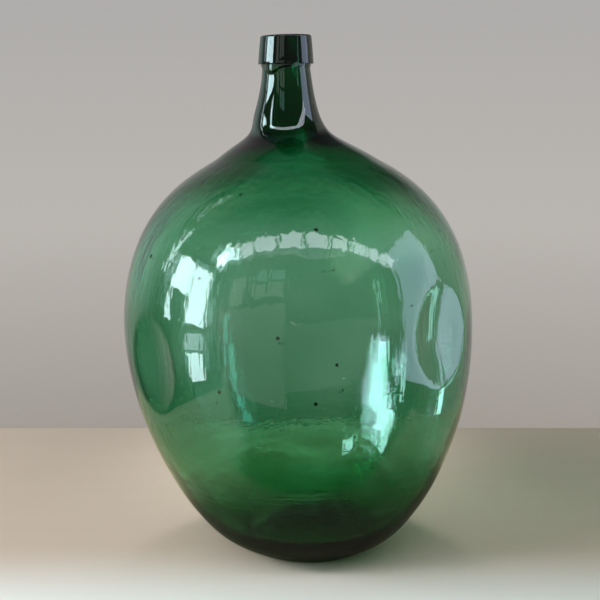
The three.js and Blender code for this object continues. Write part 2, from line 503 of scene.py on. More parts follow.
# %% [markdown]
# An area lamp spreads its watts over its face, so a bigger lamp needs more of them to look as
# bright. So each lamp is given a level, which is how bright its face looks, and its watts are worked
# out from that. A lamp in a side wall lies between two depths and two heights, and one behind the
# camera between two sides and two heights.

# %% How a lamp is made
# Four watts on a square metre shine at a level of one
WATTS_PER_LEVEL = 4.0
LEFT_SIDE, RIGHT_SIDE = -1.6, 1.6
ROOM_DEPTH, STREAK_DEPTH = -1.9, -1.85
CEILING_HEIGHT = 2.2


def soft_lamp(name, centre, width, height, level, faces, tint, echo, share=1.0, inner_share=1.0):
    data = bpy.data.lights.new(name, "AREA")
    data.shape = "RECTANGLE"
    data.size, data.size_y = width, height
    data.energy = level * width * height * WATTS_PER_LEVEL
    data.use_nodes = True
    lamp_nodes(data.node_tree, tint, echo, share, inner_share)
    lamp = bpy.data.objects.new(name, data)
    lamp.location = centre
    aim = mathutils.Vector(faces) - mathutils.Vector(centre)
    lamp.rotation_euler = aim.to_track_quat("-Z", "Y").to_euler()
    lamp.visible_camera = False
    bpy.context.scene.collection.objects.link(lamp)
    return lamp


def side_window(name, x, near, far, low, high, level, *look):
    """A window in a side wall, between two depths and two heights."""
    middle = (x, (near + far) / 2, (low + high) / 2)
    return soft_lamp(name, middle, far - near, high - low, level, (0, *middle[1:]), *look)


def room_light(name, left, right, low, high, level, tint=ROOM_TINT, depth=ROOM_DEPTH):
    """A dim patch of the room behind the camera, between two sides and two heights."""
    middle = ((left + right) / 2, depth, (low + high) / 2)
    faces = (middle[0], 0, middle[2])
    return soft_lamp(name, middle, right - left, high - low, level, faces, tint, ROOM_ECHO)


def ceiling_light(name, x, y, width, depth, level, *look):
    """A light in the ceiling that faces straight down."""
    return soft_lamp(name, (x, y, CEILING_HEIGHT), width, depth, level, (x, y, 0), *look)


print("a lamp needs", WATTS_PER_LEVEL, "watts for each square metre and level")

# %% The windows to the left and right
lamps = [
    side_window("left_window_near", LEFT_SIDE, -0.94, -0.47, 0.22, 1.03, 13.0, SKY_TINT, BRIGHT_ECHO),
    side_window("left_window_top", LEFT_SIDE, -0.45, -0.02, 0.55, 1.02, 13.0, SKY_TINT, BRIGHT_ECHO),
    side_window("left_window_far", LEFT_SIDE, -0.10, 0.00, 0.20, 0.54, 9.0, SKY_TINT, BRIGHT_ECHO),
    side_window("left_window_sill", LEFT_SIDE, -0.94, -0.54, -0.05, 0.13, 4.0, SKY_TINT, ROOM_ECHO),
    side_window("left_window_low", LEFT_SIDE, -0.93, -0.58, -0.46, -0.09, 11.0, SKY_TINT, ROOM_ECHO),
    side_window("right_window", RIGHT_SIDE, -0.62, 0.33, -0.31, 1.38, 1.8, SLATE_TINT, SOFT_ECHO, 0.15),
]
print("side windows", len(lamps))

# %% The row of panes overhead
# The first panes at the left show the sky and are brighter, and the last ones light the room less
SKYLIGHT_PANES = 11
SKY_PANES, FULL_PANES = 2, 6
LESSER_SHARE = 0.45
PANE_LEFT, PANE_PITCH = -2.66, 0.62
PANE_WIDTH, PANE_DEPTH = 0.545, 0.46
PANE_BACK, PANE_SLANT = -1.38, 0.05
PANE_FACES_HEIGHT = 0.3
CEILING_MIDDLE = (0.06, 0.45)
for i in range(SKYLIGHT_PANES):
    across = PANE_LEFT + i * PANE_PITCH
    centre = (across, PANE_BACK + PANE_SLANT * across, CEILING_HEIGHT)
    faces = (across, 0, PANE_FACES_HEIGHT)
    level, tint = (12.0, SKY_TINT) if i < SKY_PANES else (5.0, PALE_TINT)
    share = 1.0 if i < FULL_PANES else LESSER_SHARE
    look = (level, faces, tint, SKYLIGHT_ECHO, share)
    lamps.append(soft_lamp(f"skylight_pane_{i + 1}", centre, PANE_WIDTH, PANE_DEPTH, *look))
lamps.append(ceiling_light("pale_ceiling", *CEILING_MIDDLE, 2.3, 0.9, 0.08, CEILING_TINT, SKYLIGHT_ECHO))
print("lamps with the panes", len(lamps))

# %% [markdown]
# Low sun comes in somewhere to the right, and the belly mirrors it as a ragged bright patch with a
# spike, a branch and a knot. One lamp with an image in front of it could be that ragged, but plain
# lamps that touch come close to it and need no image. They light nothing else, because only their
# shape on the glass is wanted.

# %% The sun patch
# Near and far end, low and high end, and level
SUN_PATCH = {
    "mint_top": (-1.36, -1.05, -0.25, 0.03, 9.0),
    "mint_middle": (-1.50, -1.05, -0.55, -0.25, 9.0),
    "mint_wide": (-1.60, -0.92, -0.76, -0.55, 9.0),
    "mint_low": (-1.64, -0.74, -1.00, -0.76, 9.0),
    "mint_foot": (-1.26, -0.76, -1.22, -1.00, 9.0),
    "mint_tip": (-1.00, -0.78, -1.42, -1.22, 9.0),
    "mint_spike": (-1.26, -1.20, 0.03, 1.10, 3.0),
    "mint_branch": (-0.70, -0.60, -0.62, -0.08, 8.0),
    "mint_knot": (-0.88, -0.80, -0.28, -0.14, 7.0),
    "mint_right_top": (0.50, 0.64, -0.30, 0.00, 2.5),
    "mint_right": (0.37, 0.52, -0.60, -0.30, 7.0),
    "mint_right_low": (0.36, 0.54, -1.05, -0.60, 7.0),
}
SUN_SHARE, SUN_INNER_SHARE = 0.0, 0.1
for name, piece in SUN_PATCH.items():
    look = (MINT_TINT, SKYLIGHT_ECHO, SUN_SHARE, SUN_INNER_SHARE)
    lamps.append(side_window(name, RIGHT_SIDE, *piece, *look))
print("pieces of the sun patch", len(SUN_PATCH))

# %% Thin strips of light
STRIP_SHARE = 0.3
STRIP_LOOK = (SKYLIGHT_ECHO, STRIP_SHARE)
lamps += [
    ceiling_light("ceiling_strip", -1.30, 0.60, 1.9, 0.045, 3.0, PALE_TINT, *STRIP_LOOK),
    side_window("wall_strip", LEFT_SIDE, 0.17, 0.27, 0.62, 1.40, 6.0, SKY_TINT, *STRIP_LOOK),
    side_window("left_window_high", LEFT_SIDE, -1.10, -0.86, 1.20, 2.0, 9.0, SKY_TINT, *STRIP_LOOK),
]
print("lamps with the strips", len(lamps))

# %% A light on the table behind the vessel
# The vessel's shade would leave the table behind it too dark, so one narrow lamp lights that part
FILL_PLACE, FILL_AIM = (0, 0.62, 0.80), (0, 0.20, 0)
FILL_SIDE, FILL_LEVEL, FILL_SPREAD = 0.20, 1.7, 32
fill_look = (FILL_SIDE, FILL_SIDE, FILL_LEVEL, FILL_AIM, FILL_TINT, SKYLIGHT_ECHO)
fill = soft_lamp("table_fill", FILL_PLACE, *fill_look)
fill.data.spread = math.radians(FILL_SPREAD)
fill.visible_glossy = fill.visible_transmission = False
lamps.append(fill)
print("fill lamp spreads", FILL_SPREAD, "degrees")

# %% [markdown]
# The middle of the belly mirrors what lies behind the camera: two dim halves of a room, far panes of
# glass, and tall streaks at the left. A room could be built there, but it would have to be lit, so
# each of these is a weak lamp of its own. The streaks stand a little nearer than the dim half
# behind them, because a lamp hides what lies behind it or in its own plane.

# %% The dim room behind the camera
# Left and right end, low and high end, level and, where it isn't plain, tint and depth
ROOM_LIGHTS = {
    "room_left": (-2.2, -0.25, -0.90, 0.70, 0.45),
    "room_right": (-0.24, 2.6, -0.60, 0.40, 0.25),
    "far_window_1": (-1.87, -1.28, 0.75, 1.42, 0.75, PANE_TINT),
    "far_window_2": (-1.05, -0.72, 0.85, 1.18, 0.7, PANE_TINT),
    "far_window_3": (-0.64, -0.30, 0.85, 1.18, 0.7, PANE_TINT),
    "far_window_4": (-1.05, -0.72, 1.25, 1.60, 0.9, TEAL_TINT),
    "far_window_5": (-0.64, -0.30, 1.25, 1.60, 0.9, TEAL_TINT),
    "left_streak_1": (-1.92, -1.70, 0.00, 0.60, 2.3, STREAK_TINT, STREAK_DEPTH),
    "left_streak_2": (-1.76, -1.54, -0.40, 0.00, 2.3, STREAK_TINT, STREAK_DEPTH),
    "left_streak_3": (-1.68, -1.43, -0.85, -0.40, 2.5, STREAK_TINT, STREAK_DEPTH),
    "left_streak_4": (-1.56, -1.31, -1.20, -0.85, 2.8, STREAK_TINT, STREAK_DEPTH),
    "left_streak_5": (-1.43, -1.24, -1.46, -1.20, 2.8, STREAK_TINT, STREAK_DEPTH),
    "small_patch": (1.25, 1.62, -2.20, -1.76, 9.0, MINT_TINT),
    "far_post_1": (-0.14, -0.06, -0.22, 0.45, 1.1),
    "far_post_2": (-0.02, 0.03, -0.15, 0.43, 1.2),
}
lamps += [room_light(name, *values) for name, values in ROOM_LIGHTS.items()]
print("soft lamps", len(lamps))

# %% [markdown]
# The vessel's wall follows the same smooth curves as the CAD model, given here again in
# millimetres. A station is a point where one curve hands over to the next: its radius, its height,
# the slope of the wall and how far the curve keeps that slope before and after it. Straight steps
# between many points could draw the wall too, but glass mirrors every kink, and a curve has none.

# %% Curves through stations


def station(radius, height, slope, before, after, wall=0.0):
    turn = math.radians(slope)
    along = np.array([math.cos(turn), math.sin(turn)])
    at = np.array([radius, height], float)
    return {"at": at, "along": along, "before": before, "after": after, "wall": wall}


def inside_of(outer):
    """The station on the inner skin that faces one on the outer skin."""
    inward = np.array([-outer["along"][1], outer["along"][0]])
    return {**outer, "at": outer["at"] + inward * outer["wall"]}


def wall_through(stations, steps):
    """Points along the curves through the stations, with so many steps from each to the next."""
    points = [stations[0]["at"][None]]
    for start, end, count in zip(stations, stations[1:], steps):
        reach = np.linalg.norm(end["at"] - start["at"])
        a, d = start["at"], end["at"]
        b = a + start["along"] * start["after"] * reach
        c = d - end["along"] * end["before"] * reach
        t = np.linspace(0, 1, count + 1)[1:, None]
        points.append((1 - t) ** 3 * a + 3 * (1 - t) ** 2 * t * b + 3 * (1 - t) * t**2 * c + t**3 * d)
    return np.concatenate(points)


print("curve helpers ready")

# %% The outer and the inner wall
FOOT_RADIUS, FOOT_WALL = 65.5, 12
BELLY_RADIUS, BELLY_HEIGHT = 172.5, 226
SHOULDER_HEIGHT, ROOT_HEIGHT = 393, 424.5
NECK_END = 502
BORE_RADIUS = 13.5
# The bubble stretched most below the shoulder, and its wall is this much thinner there
THINNER, THINNEST_HEIGHT, THINNEST_REACH = 1.2, 325, 42
# Inside, the throat narrows to the bore a little above the root of the neck
THROAT_RADIUS, THROAT_RISE = 16, 8
OUTER_STEPS, INNER_STEPS = [16, 76, 80, 24, 28], [14, 34, 44, 20, 14]

outer_stations = [
    station(FOOT_RADIUS, 0, 29.5, 0, 0.51, FOOT_WALL),
    station(118.5, 47.5, 55.5, 0.42, 0.22, 5.2),
    station(BELLY_RADIUS, BELLY_HEIGHT, 90, 0.40, 0.65, 3.2),
    station(75, SHOULDER_HEIGHT, 145.5, 0.12, 0.56, 6.5),
    station(34.5, ROOT_HEIGHT, 109.5, 0.29, 0.46),
    station(22, NECK_END, 91, 0.25, 0),
]
inner_stations = [
    station(FOOT_RADIUS, FOOT_WALL, 0, 0, 0.1),
    *[inside_of(s) for s in outer_stations[1:4]],
    station(THROAT_RADIUS, ROOT_HEIGHT + THROAT_RISE, 102, 0.42, 0.3),
    station(BORE_RADIUS, NECK_END, 90, 0.3, 0),
]
outer_wall = wall_through(outer_stations, OUTER_STEPS)
inner_wall = wall_through(inner_stations, INNER_STEPS)
off_thinnest = (inner_wall[:, 1] - THINNEST_HEIGHT) / THINNEST_REACH
inner_wall[:, 0] += THINNER * np.exp(-(off_thinnest**2))
print("wall rows", len(outer_wall), "outside and", len(inner_wall), "inside")

# %% The push-up
# The vessel stands on a ring, and inside the ring the base rises to a flat seat
RING_WIDTH = 8
SEAT_RADIUS = 20
PUNT_HEIGHT, PUNT_WALL = 22, 9
PUNT_STEPS = [18]
under_stations = [
    station(SEAT_RADIUS, PUNT_HEIGHT, 0, 0, 0.3),
    station(FOOT_RADIUS - RING_WIDTH, 0, -45, 0.35, 0),
]
cover_stations = [
    station(SEAT_RADIUS, PUNT_HEIGHT + PUNT_WALL, 0, 0, 0.4),
    station(FOOT_RADIUS, FOOT_WALL, 0, 0.16, 0),
]
underside = wall_through(under_stations, PUNT_STEPS)
punt_cover = wall_through(cover_stations, PUNT_STEPS)
print("push-up rows", len(underside) + len(punt_cover))

# %% [markdown]
# Blown glass is never true. Its foot and neck sit off the axis, and two dents went into it while it
# was hot. The dents could be pressed in with a lattice or by sculpting, but a formula keeps them
# where the CAD model has them, and their sizes can be read.

# %% The leaning axis and the dents
FOOT_SHIFT, FOOT_SHIFT_TOP, FOOT_SHIFT_POWER = 10.5, 235, 1.3
NECK_SHIFT, NECK_SHIFT_REACH = -11, 12
DENTS = [
    {"azimuth": 50.5, "height": BELLY_HEIGHT + 16, "width": 84, "tall": 92, "depth": 9.5, "apron": 1.6},
    {"azimuth": -51, "height": BELLY_HEIGHT - 13, "width": 70, "tall": 88, "depth": 8.0, "apron": 0.4},
]
DENT_RIM_SOFTNESS = 0.13
# Round each dent the skin already leans towards it
DENT_APRON_REACH = 1.35


def smooth_share(value, low, high):
    share = np.clip((value - low) / (high - low), 0, 1)
    return share * share * (3 - 2 * share)


def axis_shift(height):
    """How far to the right of the belly's axis the wall is centred at a height."""
    foot = np.clip(1 - height / FOOT_SHIFT_TOP, 0, None) ** FOOT_SHIFT_POWER
    neck = smooth_share(height, SHOULDER_HEIGHT - NECK_SHIFT_REACH, ROOT_HEIGHT + NECK_SHIFT_REACH)
    return FOOT_SHIFT * foot + NECK_SHIFT * neck


def dent_depth(azimuth, height):
    depth = np.zeros_like(azimuth)
    for dent in DENTS:
        across = np.radians(azimuth - dent["azimuth"]) * BELLY_RADIUS
        up = height - dent["height"]
        inside = 1 - (2 * across / dent["width"]) ** 2 - (2 * up / dent["tall"]) ** 2
        soft = DENT_RIM_SOFTNESS
        depth += dent["depth"] * (inside + np.sqrt(inside**2 + soft**2)) / (1 + math.hypot(1, soft))
        depth += dent["apron"] * np.exp(-(1 - inside) / DENT_APRON_REACH**2)
    return depth


print("the foot sits", round(float(axis_shift(0)), 1), "mm to the right")

# %% [markdown]
# The skin has long soft waves that bend every reflection. A Displace modifier with a noise texture
# could lift it, but it would move both skins alike. Sums of slow sine waves through space take one
# set outside and another inside, so the wall grows thicker and thinner as a real bubble's does.

# %% Soft waves in both skins
# Length from crest to crest and height, in millimetres, and how many waves run in different ways
OUTSIDE_WAVES = [(210, 0.30, 5), (95, 0.14, 6), (48, 0.06, 6)]
INSIDE_WAVES = [(180, 0.45, 5), (80, 0.28, 6), (38, 0.11, 6)]
OUTSIDE_SEED, INSIDE_SEED = 11, 23


def soft_waves(points, seed, sizes):
    rng = np.random.default_rng(seed)
    height = np.zeros(points.shape[:-1])
    for length, amount, count in sizes:
        for _ in range(count):
            way = rng.normal(size=3)
            way *= 2 * math.pi / length / np.linalg.norm(way)
            phase = rng.uniform(0, 2 * math.pi)
            height += amount / math.sqrt(count) * np.sin(points @ way + phase)
    return height


print("longest waves", OUTSIDE_WAVES[0][0], "mm outside and", INSIDE_WAVES[0][0], "mm inside")

# %% [markdown]
# The lip is the one place where a tool touched the glass. A ring of hot glass was wound round the
# end of the neck and squeezed to a band with a pair of jaws, which left its sides straight, its
# edges barely rounded and a thin skirt below it. One drop of the skirt ran down the neck. Lip and
# neck are the same glass in the real vessel, so one mesh carries both, with no gap between them.

# %% The lip's sizes
LIP_TOP, LIP_HEIGHT = 507, 26.7
LIP_LEDGE = LIP_TOP - LIP_HEIGHT
LIP_TOP_RADIUS, LIP_BOTTOM_RADIUS = 24.6, 26.7
LIP_EDGE, LIP_LOWER_EDGE = 1.9, 0.75
LIP_SIDE_BULGE = 0.15
LIP_SHIFT, LIP_LEAN = 0.6, 1.4
SKIRT_HEIGHT, SKIRT_THICKNESS = 3.0, 1.1
# The skirt's thickness on its way up, as shares of its height and of its full thickness
SKIRT_PROFILE = [(0.0, 0.12), (0.10, 0.42), (0.25, 0.74), (0.45, 0.94), (0.7, 1.0), (0.95, 1.0)]
DRIP = {"azimuth": -34, "width": 17, "length": 6.5, "thickness": 1.8}
# Each ripple has a size, how often it comes round the lip, and where it starts
BAND_RIPPLES = [(0.22, 2, 0.7), (0.12, 5, 2.1)]
LEDGE_RIPPLES = [(0.35, 1, 2.4), (0.12, 4, 0)]
SKIRT_RIPPLES = [(0.25, 3, 1)]
# The lip's rows take over from the wall's rows at this height on the neck
NECK_CUT, NECK_ROWS = 462, 40
# Small steps that keep a row clear of the corner next to it
CORNER_STEP, SEAM_STEP, LEDGE_STEP = 0.6, 0.25, 1.3
print("lip from", LIP_LEDGE, "to", LIP_TOP, "mm")

# %% The lip's outline at each azimuth


def arc(centre, radius, start, end, count):
    turn = np.radians(np.linspace(start, end, count))
    return np.stack([centre[0] + radius * np.cos(turn), centre[1] + radius * np.sin(turn)], 1)


def rippled(turn, ripples):
    return sum(size * math.sin(count * turn + start) for size, count, start in ripples)


def neck_radius(height):
    return np.interp(height, outer_wall[-NECK_ROWS:, 1], outer_wall[-NECK_ROWS:, 0])


def skirt_rows(ledge, thick, drip):
    """Rows from the neck below the lip, up the skirt to the ledge."""
    end = ledge - SKIRT_HEIGHT - DRIP["length"] * drip
    rows = [(neck_radius(z), z) for z in np.linspace(NECK_CUT, end - CORNER_STEP, 7)]
    for share, bulge in SKIRT_PROFILE:
        z = end + share * (ledge - end)
        rows.append((neck_radius(z) + thick * bulge, z))
    rows.append((neck_radius(ledge) + thick + SEAM_STEP, ledge))
    return rows


def lip_outline(azimuth):
    """Rows from the neck below the lip, over the band and its rim, to the top of the bore."""
    turn = math.radians(azimuth)
    drip = math.exp(-(((azimuth - DRIP["azimuth"]) / DRIP["width"]) ** 2))
    ledge = LIP_LEDGE + rippled(turn, LEDGE_RIPPLES)
    thick = SKIRT_THICKNESS + DRIP["thickness"] * drip + rippled(turn, SKIRT_RIPPLES)
    rows = skirt_rows(ledge, thick, drip)
    bottom, top = (r + rippled(turn, BAND_RIPPLES) for r in (LIP_BOTTOM_RADIUS, LIP_TOP_RADIUS))
    lower, edge = LIP_LOWER_EDGE, LIP_EDGE
    rows += [(bottom - LEDGE_STEP, ledge), (bottom - lower, ledge)]
    rows += arc((bottom - lower, ledge + lower), lower, -70, 0, 4).tolist()
    for share in np.linspace(0.1, 0.95, 8):
        z = ledge + lower + share * (LIP_TOP - edge - ledge - lower)
        bulge = LIP_SIDE_BULGE * math.sin(math.pi * share)
        rows.append((bottom + share * (top - bottom) + bulge, z))
    rows += arc((top - edge, LIP_TOP - edge), edge, 0, 90, 7).tolist()
    rim = np.linspace(top - edge - CORNER_STEP, BORE_RADIUS + edge + CORNER_STEP, 4)
    rows += [(r, LIP_TOP) for r in rim]
    rows += arc((BORE_RADIUS + edge, LIP_TOP - edge), edge, 90, 180, 6).tolist()
    return np.array(rows)


print("lip rows", len(lip_outline(0)))

# %% [markdown]
# The vessel is one closed skin of glass. A lathe or a Screw modifier would spin its outline, but
# then every column would be alike. So the mesh is a grid: rows follow the outline from the middle
# of the push-up, out and up, over the lip and down inside, and columns go round the vessel. They
# crowd together where the dents are, because their rims are the sharpest thing on the belly.

# %% Rows and columns
COLUMNS = 288
FINE_COLUMNS = 7201
# How much closer the columns stand at a dent, and within how many degrees of it
CROWD, CROWD_REACH = 3.0, 22
RING_ROUNDING, HEEL_ROUNDING = 1.1, 1.6
POLE_RADIUS = 3


def column_azimuths():
    fine = np.linspace(-180, 180, FINE_COLUMNS)
    crowd = 1 + sum(CROWD * np.exp(-(((fine - d["azimuth"]) / CROWD_REACH) ** 2)) for d in DENTS)
    total = np.concatenate([[0], np.cumsum((crowd[1:] + crowd[:-1]) / 2)])
    return np.interp(np.arange(COLUMNS) / COLUMNS * total[-1], total, fine)


def round_corner(first, second, size, steps=4):
    """Joins two runs of points that meet in a corner with a curve that starts size before it."""
    corner = first[-1]
    first = first[np.linalg.norm(first - corner, axis=1) > size]
    second = second[np.linalg.norm(second - corner, axis=1) > size]
    start = corner + (first[-1] - corner) * size / np.linalg.norm(first[-1] - corner)
    end = corner + (second[0] - corner) * size / np.linalg.norm(second[0] - corner)
    t = np.linspace(0, 1, steps + 1)[:, None]
    curve = (1 - t) ** 2 * start + 2 * (1 - t) * t * corner + t**2 * end
    return np.concatenate([first, curve, second])


def disc_rows(start, end, height):
    return np.stack([np.linspace(start, end, 6), np.full(6, height)], 1)


def vessel_grid():
    ring = np.linspace(underside[-1], outer_wall[0], 5)
    seat = disc_rows(POLE_RADIUS, SEAT_RADIUS, PUNT_HEIGHT)[:-1]
    foot = round_corner(np.concatenate([seat, underside]), ring, RING_ROUNDING)
    foot = round_corner(foot, outer_wall, HEEL_ROUNDING)
    foot = foot[foot[:, 1] <= NECK_CUT - 1]
    apex = disc_rows(SEAT_RADIUS, POLE_RADIUS, PUNT_HEIGHT + PUNT_WALL)[1:]
    inside = np.concatenate([inner_wall[::-1], punt_cover[:-1][::-1], apex])
    azimuths = column_azimuths()
    grid = np.stack([np.concatenate([foot, lip_outline(a), inside]) for a in azimuths], 1)
    return azimuths, grid, len(foot), len(grid) - len(inside)


azimuths, grid, foot_rows, inside_from = vessel_grid()
print("grid of", len(grid), "rows and", COLUMNS, "columns")

# %% Wave and dent the skin
# The waves fade in above the foot and outside the push-up, and are weaker over the shoulder
WAVES_ABOVE, WAVES_OUTSIDE = (4, 60), (14, 60)
SHOULDER_CALM, SHOULDER_CALM_ENDS = 0.75, (315, 365)
# A trace of them runs up the neck
NECK_WAVES, NECK_WAVES_START, NECK_WAVES_END = 0.03, (400, 430), (455, 466)
# The dents fade out towards the axis, so that the base and the neck stay clear of them
DENTED_OUTSIDE = (90, 110)


def across_rows(grid):
    """The direction in the outline's plane that points out of the glass, at each point."""
    along = np.gradient(grid, axis=0)
    along /= np.linalg.norm(along, axis=2, keepdims=True)
    return np.stack([along[..., 1], -along[..., 0]], 2)


def wave_strength(radius, height):
    strength = smooth_share(height, *WAVES_ABOVE) * smooth_share(radius, *WAVES_OUTSIDE)
    strength *= 1 - SHOULDER_CALM * smooth_share(height, *SHOULDER_CALM_ENDS)
    neck = smooth_share(height, *NECK_WAVES_START) * (1 - smooth_share(height, *NECK_WAVES_END))
    return np.maximum(strength, NECK_WAVES * neck)


def waved_and_dented(azimuths, grid, foot_rows, inside_from):
    turn = np.radians(azimuths)[None, :]
    radius, height = grid[..., 0].copy(), grid[..., 1].copy()
    place = np.stack([radius * np.sin(turn), -radius * np.cos(turn), height], 2)
    out_of_glass = across_rows(grid)
    waves = soft_waves(place, OUTSIDE_SEED, OUTSIDE_WAVES)
    waves[inside_from:] = soft_waves(place[inside_from:], INSIDE_SEED, INSIDE_WAVES)
    waves *= wave_strength(radius, height)
    waves[foot_rows:inside_from] = 0
    radius += waves * out_of_glass[..., 0]
    height += waves * out_of_glass[..., 1]
    belly = smooth_share(radius, *DENTED_OUTSIDE)
    radius -= dent_depth(np.broadcast_to(azimuths, radius.shape), height) * belly
    return radius, height


radius, height = waved_and_dented(azimuths, grid, foot_rows, inside_from)
print("belly reaches out to", round(float(radius.max()), 1), "mm")

# %% Set the lip askew and join the faces
# The lip's lean and shift come in over this height below it
LIP_BEND = 14


def vessel_points(azimuths, radius, height):
    turn = np.radians(azimuths)[None, :]
    shift = axis_shift(height)
    lip = smooth_share(height, LIP_LEDGE - LIP_BEND, LIP_LEDGE)
    shift -= LIP_SHIFT * lip
    height = height + math.tan(math.radians(LIP_LEAN)) * radius * np.sin(turn) * lip
    skin = np.stack([radius * np.sin(turn) + shift, -radius * np.cos(turn), height], 2)
    middle = axis_shift(PUNT_HEIGHT)
    poles = [[middle, 0, height[row].mean()] for row in (0, -1)]
    return np.concatenate([skin.reshape(-1, 3), poles]) * MM


def vessel_faces(rows):
    """Four-sided faces between the rows, and a fan round each pole."""
    index = np.arange(rows * COLUMNS).reshape(rows, COLUMNS)
    right = np.roll(index, -1, axis=1)
    faces = np.stack([index[:-1], right[:-1], right[1:], index[1:]], 2).reshape(-1, 4).tolist()
    under, over = rows * COLUMNS, rows * COLUMNS + 1
    faces += [(int(right[0, i]), int(index[0, i]), under) for i in range(COLUMNS)]
    faces += [(int(index[-1, i]), int(right[-1, i]), over) for i in range(COLUMNS)]
    return faces


vessel_skin = vessel_points(azimuths, radius, height)
print("vessel points", len(vessel_skin))

# %% [markdown]
# Several effects are at work in the glass at once: cords, seeds, stones and a veil of old residue.
# Each could be painted as an image, but an image would need unwrapping and would show its pixels in
# a mirror. So each is a node group that works from the place on the piece, and the glass material
# only picks up what the groups put out.

# %% Helpers for effects


def effect_group(name, build):
    """A node group that works out a shared effect from the place on the piece, in metres."""
    tree = bpy.data.node_groups.new(name, "ShaderNodeTree")
    tree.interface.new_socket("Place", in_out="INPUT", socket_type="NodeSocketVector")
    start, end = tree.nodes.new("NodeGroupInput"), tree.nodes.new("NodeGroupOutput")
    for label, result in build(tree, start.outputs["Place"]).items():
        kind = "NodeSocketColor" if result.type == "RGBA" else "NodeSocketFloat"
        tree.interface.new_socket(label, in_out="OUTPUT", socket_type=kind)
        tree.links.new(result, end.inputs[label])
    return tree


def use_group(tree, group, place):
    return add_node(tree, "ShaderNodeGroup", group.name, node_tree=group, Place=place).outputs


def height_of(tree, place):
    return axes(tree, place, "height_on_the_vessel")["Z"]


def scattered(tree, place, cells_in_a_metre, label):
    """How far the nearest of many scattered points is, in cells, and two chances for each point."""
    cells = add_node(tree, "ShaderNodeTexVoronoi", label, Vector=place, Scale=cells_in_a_metre).outputs
    pick = add_node(tree, "ShaderNodeSeparateColor", "pick", Color=cells["Color"]).outputs
    return cells["Distance"], pick[0], pick[1]


print("effect helpers ready")

# %% [markdown]
# Cords are streaks of slightly stiffer glass. They run up the bubble as it was drawn out, and lie
# level round the heel, where it was turned on a slab. Between them the whole skin is faintly
# rippled. Three stretched noises make these, and a Bump node tips the skin by them, because they
# are far too shallow to be worth any mesh.

# %% Cords and ripples
UPRIGHT_CORD, LEVEL_CORD = (0.005, 0.005, 0.060), (0.080, 0.080, 0.005)
LEVEL_CORD_STRENGTH = 2.5
RIPPLE = (0.011, 0.011, 0.016)
HEEL_HEIGHTS = (0.17, 0.09)
CORDS_END_HEIGHTS = (0.405, 0.375)


def cords(tree, place):
    upright = noise(tree, stretched(tree, place, UPRIGHT_CORD, "upright"), "upright_cords", 2.0)
    level = noise(tree, stretched(tree, place, LEVEL_CORD, "level"), "level_cords", 3.0)
    level = times(tree, level, LEVEL_CORD_STRENGTH, "deeper_at_the_heel")
    heel = share_between(tree, height_of(tree, place), *HEEL_HEIGHTS, "heel")
    streaks = mix_values(tree, upright, level, heel, "cords")
    ripple = noise(tree, stretched(tree, place, RIPPLE, "ripple"), "ripples", 2.0, 0.35)
    relief = math_node(tree, "ADD", streaks, ripple, "both")
    belly = share_between(tree, height_of(tree, place), *CORDS_END_HEIGHTS, "belly")
    return {"Height": times(tree, relief, belly, "relief")}


CORDS = effect_group("glass_cords", cords)
print("effect", CORDS.name)

# %% [markdown]
# Seeds are small bubbles that stand up under the skin, and stones are dark crumbs of the furnace
# that never melted. Each could be a little mesh of its own, but a Voronoi texture scatters them
# through the glass at once: where a cell's own colour is high enough, its middle holds one.

# %% Seeds and stones
SEED_SIZE, SEED_CELLS, SEED_CHANCE = 0.0011, 75.0, 0.80
STONE_SIZE, STONE_CELLS, STONE_CHANCE = 0.0021, 60.0, 0.82


def seeds(tree, place):
    distance, chance, _ = scattered(tree, place, SEED_CELLS, "seed_cells")
    here = share_between(tree, distance, SEED_SIZE * SEED_CELLS, 0, "seed")
    chosen = above(tree, chance, SEED_CHANCE, "chosen")
    return {"Height": times(tree, here, chosen, "seeds")}


def stones(tree, place):
    distance, chance, growth = scattered(tree, place, STONE_CELLS, "stone_cells")
    size = times(tree, growth, STONE_SIZE * STONE_CELLS, "size")
    near = math_node(tree, "LESS_THAN", distance, size, "near")
    chosen = above(tree, chance, STONE_CHANCE, "chosen")
    return {"Mask": times(tree, near, chosen, "stones")}


SEEDS = effect_group("glass_seeds", seeds)
STONES = effect_group("glass_stones", stones)
print("effects", SEEDS.name, "and", STONES.name)

# %% [markdown]
# Old wine lees and dust leave a brown veil that thickens towards the push-up in level bands, and
# the ring that the vessel stands on is worn matt. A painted mask could hold both, but a share that
# changes with the height follows the vessel without one. The shoulder, the neck and the lip look
# darker than their thickness alone makes them, so the same group tints them, one above the other.

# %% Residue, wear and the darker upper glass
RESIDUE_TINT = (0.50, 0.42, 0.26)
RESIDUE_BANDS = (0.09, 0.09, 0.012)
RESIDUE_HEIGHTS, RESIDUE_PATCHES = (0.13, 0.015), (0.25, 0.75)
RESIDUE_HAZE = 0.10
WORN_RING_HEIGHTS = (0.0022, 0.0004)
SEAM_BELOW, SEAM_ABOVE = 3, 2
DARKER_GLASS = {
    "shoulder": (0.350, 0.395, (0.30, 0.68, 0.60)),
    "neck": (0.405, 0.440, (0.50, 0.60, 0.60)),
    "lip": ((LIP_LEDGE - SEAM_BELOW) * MM, (LIP_LEDGE + SEAM_ABOVE) * MM, (0.12, 0.15, 0.14)),
}


